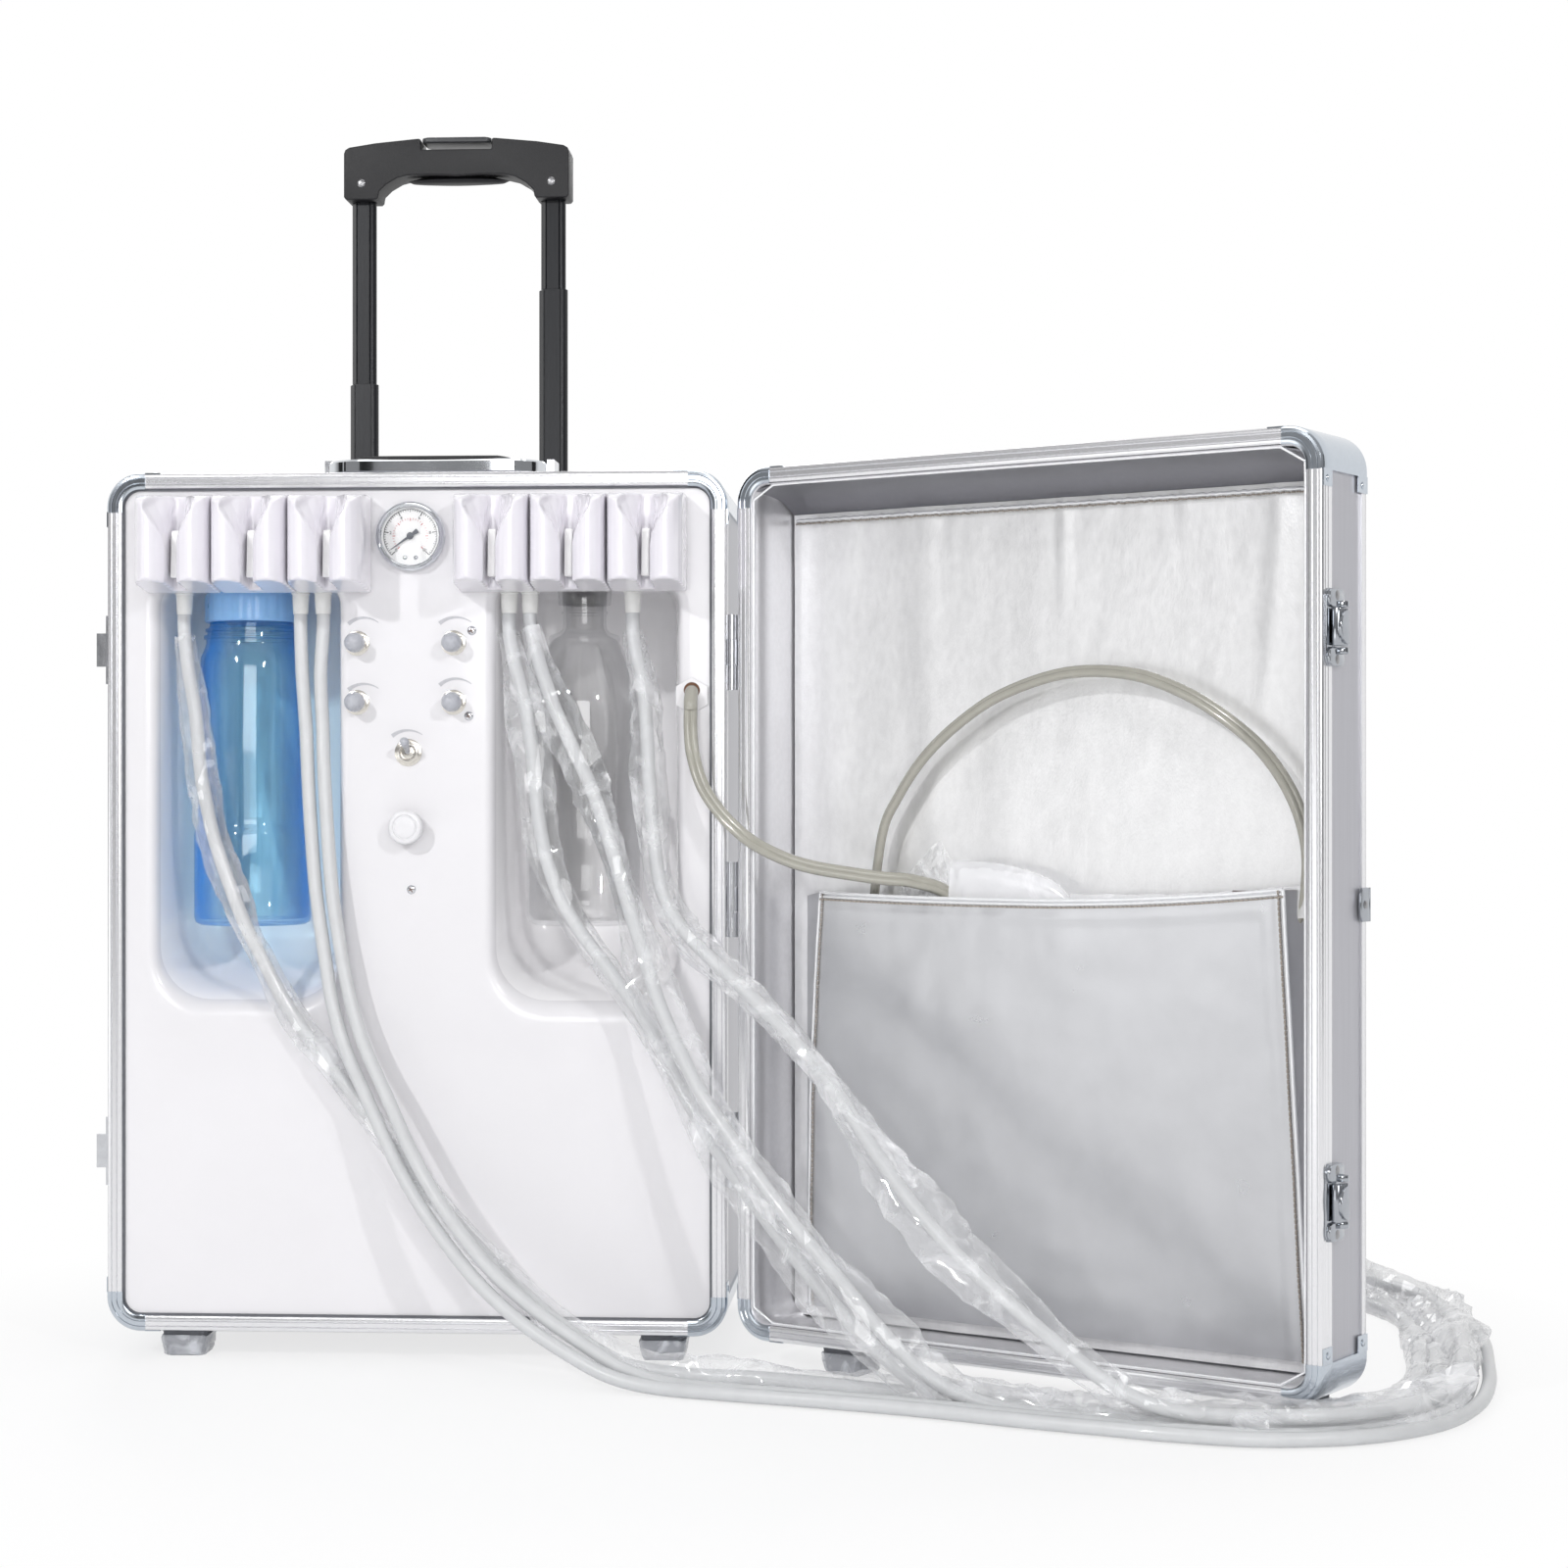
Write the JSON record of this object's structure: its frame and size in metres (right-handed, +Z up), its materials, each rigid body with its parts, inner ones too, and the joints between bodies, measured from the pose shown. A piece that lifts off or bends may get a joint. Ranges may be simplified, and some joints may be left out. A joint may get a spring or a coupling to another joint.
{
  "type": "portable dental unit",
  "caption": "Upright trolley case with hinged lid: sprung handpiece holders, pressure gauge, control knobs, two recessed bottles, hoses, wheels and telescopic handle",
  "frame": {"origin": "bottom centre of the box round the object without its hoses, on the floor under the feet", "axes": "+X to the right and +Y to the back as seen from in front of the open body, +Z up; the lid is open 149 degrees"},
  "size_m": [0.9272, 0.542, 0.857],
  "materials": {
    "laminate": "satin silver-lilac laminate, fine vertical brushing",
    "edge_aluminium": "ribbed extruded profile, satin",
    "corner_chrome": "bright pressed caps",
    "face_plastic": "vacuum-formed white sheet, semi-gloss",
    "holder_plastic": "moulded white, glossy",
    "lever_plastic": "moulded white",
    "screw_steel": "blackened screw heads",
    "gauge_chrome": "polished bezel",
    "needle_black": "black pointer",
    "knob_grey": "moulded grey domes",
    "valve_nickel": "nickel-plated brass",
    "toggle_grey": "moulded grey lever",
    "knob_white": "moulded white disc",
    "bottle_blue": "clear blue PET",
    "bottle_clear": "clear PET",
    "cap_blue": "light blue ribbed cap",
    "gland_white": "moulded white fittings",
    "compressor_dark": "cast housing",
    "tank_paint": "painted steel tank",
    "manifold_brass": "machined block",
    "board_green": "circuit board",
    "tube_black": "black anodised tube",
    "tube_grey": "dark anodised tube",
    "grip_black": "moulded black grip",
    "wheel_black": "black rubber-tyred wheel",
    "housing_black": "moulded wheel housing",
    "foot_grey": "dark grey rubber",
    "handle_chrome": "chromed bail",
    "fitting_steel": "plated steel",
    "lining_silver": "silver coated cloth, stitched",
    "pocket_silver": "silver coated cloth",
    "hose_grey": "light grey hose in thin clear film",
    "air_hose_olive": "olive-grey glossy hose"
  },
  "bodies": {
    "body": {"body_panels": "laminate", "body_edges": "edge_aluminium", "body_corners": "corner_chrome", "front_panel": "face_plastic", "panel_screws": "screw_steel", "handpiece_holders": "holder_plastic", "gauge_case": "gauge_chrome", "control_valves": "valve_nickel", "bottle_caps": "cap_blue", "hose_glands": "gland_white", "compressor": "compressor_dark", "air_tank": "tank_paint", "manifold": "manifold_brass", "power_board": "board_green", "trolley_outer": "tube_black", "wheel_brackets": "housing_black", "body_feet": "foot_grey", "case_fittings": "fitting_steel", "hose_1": "hose_grey", "hose_2": "hose_grey", "hose_3": "hose_grey", "hose_4": "hose_grey", "hose_5": "hose_grey", "hose_6": "hose_grey", "air_hose": "air_hose_olive", "hose_connectors": "fitting_steel"},
    "lid": {"lid_panels": "laminate", "lid_edges": "edge_aluminium", "lid_corners": "corner_chrome", "lid_lining": "lining_silver", "lid_pocket": "pocket_silver", "lid_hinges": "fitting_steel", "lid_latches": "fitting_steel", "lid_feet": "foot_grey", "air_coupling": "fitting_steel"},
    "latch_high": {"latch_lever_high": "fitting_steel"},
    "latch_low": {"latch_lever_low": "fitting_steel"},
    "needle": {"gauge_needle": "needle_black"},
    "knob_water": {"knob_water": "knob_grey"},
    "knob_mist": {"knob_mist": "knob_grey"},
    "knob_air_high": {"knob_air_high": "knob_grey"},
    "knob_air_low": {"knob_air_low": "knob_grey"},
    "toggle": {"toggle_lever": "toggle_grey"},
    "scaler_knob": {"scaler_knob": "knob_white"},
    "water_bottle": {"water_bottle": "bottle_blue"},
    "waste_bottle": {"waste_bottle": "bottle_clear"},
    "mid_left": {"mid_tube_left": "tube_grey"},
    "mid_right": {"mid_tube_right": "tube_grey"},
    "grip": {"inner_tubes": "tube_black", "grip": "grip_black"},
    "grip_button": {"grip_button": "grip_black"},
    "wheel_left": {"wheel_left": "wheel_black"},
    "wheel_right": {"wheel_right": "wheel_black"},
    "carry_handle": {"carry_handle": "handle_chrome"},
    "lever_1": {"holder_lever_1": "lever_plastic"},
    "lever_2": {"holder_lever_2": "lever_plastic"},
    "lever_3": {"holder_lever_3": "lever_plastic"},
    "lever_4": {"holder_lever_4": "lever_plastic"},
    "lever_5": {"holder_lever_5": "lever_plastic"},
    "lever_6": {"holder_lever_6": "lever_plastic"}
  },
  "joints": [
    {"name": "lid_hinge", "type": "hinge", "parent": "body", "child": "lid", "pos_m": [0.01679, -0.0243, 0.3], "axis": [0, 0, 1], "range_deg": [-149, 31], "deforming": ["hose_1", "hose_2", "hose_3", "hose_4", "hose_5", "hose_6", "air_hose"]},
    {"name": "mid_left_slide", "type": "slide", "parent": "body", "child": "mid_left", "axis": [0, 0, 1], "range_m": [-0.085, 0.129]},
    {"name": "mid_right_slide", "type": "slide", "parent": "body", "child": "mid_right", "axis": [0, 0, 1], "range_m": [-0.13, 0.06]},
    {"name": "grip_slide", "type": "slide", "parent": "mid_right", "child": "grip", "axis": [0, 0, 1], "range_m": [-0.06, 0.13]},
    {"name": "grip_button_press", "type": "slide", "parent": "grip", "child": "grip_button", "axis": [0, 0, -1], "range_m": [0, 0.003], "stiffness_N_per_m": 300},
    {"name": "carry_handle_swing", "type": "hinge", "parent": "body", "child": "carry_handle", "pos_m": [-0.19421, 0.0937, 0.596], "axis": [-1, 0, 0], "range_deg": [0, 100]},
    {"name": "lever_1_press", "type": "hinge", "parent": "body", "child": "lever_1", "pos_m": [-0.34571, -0.04229, 0.541], "axis": [1, 0, 0], "range_deg": [0, 14], "stiffness_Nm_per_rad": 0.006},
    {"name": "lever_2_press", "type": "hinge", "parent": "body", "child": "lever_2", "pos_m": [-0.29571, -0.04229, 0.541], "axis": [1, 0, 0], "range_deg": [0, 14], "stiffness_Nm_per_rad": 0.006},
    {"name": "lever_3_press", "type": "hinge", "parent": "body", "child": "lever_3", "pos_m": [-0.24571, -0.04229, 0.541], "axis": [1, 0, 0], "range_deg": [0, 14], "stiffness_Nm_per_rad": 0.006},
    {"name": "lever_4_press", "type": "hinge", "parent": "body", "child": "lever_4", "pos_m": [-0.13771, -0.04229, 0.541], "axis": [1, 0, 0], "range_deg": [0, 14], "stiffness_Nm_per_rad": 0.006},
    {"name": "lever_5_press", "type": "hinge", "parent": "body", "child": "lever_5", "pos_m": [-0.08771, -0.04229, 0.541], "axis": [1, 0, 0], "range_deg": [0, 14], "stiffness_Nm_per_rad": 0.006},
    {"name": "lever_6_press", "type": "hinge", "parent": "body", "child": "lever_6", "pos_m": [-0.03771, -0.04229, 0.541], "axis": [1, 0, 0], "range_deg": [0, 14], "stiffness_Nm_per_rad": 0.006},
    {"name": "knob_water_turn", "type": "hinge", "parent": "body", "child": "knob_water", "pos_m": [-0.23071, -0.0243, 0.471], "axis": [0, 1, 0], "range_deg": [-135, 135]},
    {"name": "knob_mist_turn", "type": "hinge", "parent": "body", "child": "knob_mist", "pos_m": [-0.23071, -0.0243, 0.432], "axis": [0, 1, 0], "range_deg": [-135, 135]},
    {"name": "knob_air_high_turn", "type": "hinge", "parent": "body", "child": "knob_air_high", "pos_m": [-0.16671, -0.0243, 0.471], "axis": [0, 1, 0], "range_deg": [-135, 135]},
    {"name": "knob_air_low_turn", "type": "hinge", "parent": "body", "child": "knob_air_low", "pos_m": [-0.16671, -0.0243, 0.432], "axis": [0, 1, 0], "range_deg": [-135, 135]},
    {"name": "toggle_flip", "type": "hinge", "parent": "body", "child": "toggle", "pos_m": [-0.19671, -0.0203, 0.399], "axis": [1, 0, 0], "range_deg": [0, 50]},
    {"name": "scaler_knob_turn", "type": "hinge", "parent": "body", "child": "scaler_knob", "pos_m": [-0.19671, -0.0243, 0.35], "axis": [0, 1, 0], "range_deg": [-135, 135]},
    {"name": "needle_turn", "type": "hinge", "parent": "body", "child": "needle", "pos_m": [-0.19471, -0.0243, 0.541], "axis": [0, 1, 0], "range_deg": [0, 250], "stiffness_Nm_per_rad": 0.0001},
    {"name": "water_bottle_unscrew", "type": "hinge", "parent": "body", "child": "water_bottle", "pos_m": [-0.31071, 0.02371, 0.4], "axis": [0, 0, -1], "range_deg": [0, 540]},
    {"name": "waste_bottle_unscrew", "type": "hinge", "parent": "body", "child": "waste_bottle", "pos_m": [-0.08571, 0.02371, 0.4], "axis": [0, 0, -1], "range_deg": [0, 540]},
    {"name": "latch_high_flip", "type": "hinge", "parent": "lid", "child": "latch_high", "pos_m": [0.38461, -0.22197, 0.467], "axis": [0, 0, 1], "range_deg": [0, 80]},
    {"name": "latch_low_flip", "type": "hinge", "parent": "lid", "child": "latch_low", "pos_m": [0.38461, -0.22197, 0.136], "axis": [0, 0, 1], "range_deg": [0, 80]},
    {"name": "wheel_left_roll", "type": "hinge", "parent": "body", "child": "wheel_left", "pos_m": [-0.34971, 0.2027, 0.025], "axis": [1, 0, 0], "continuous": true},
    {"name": "wheel_right_roll", "type": "hinge", "parent": "body", "child": "wheel_right", "pos_m": [-0.03371, 0.2027, 0.025], "axis": [1, 0, 0], "continuous": true}
  ]
}
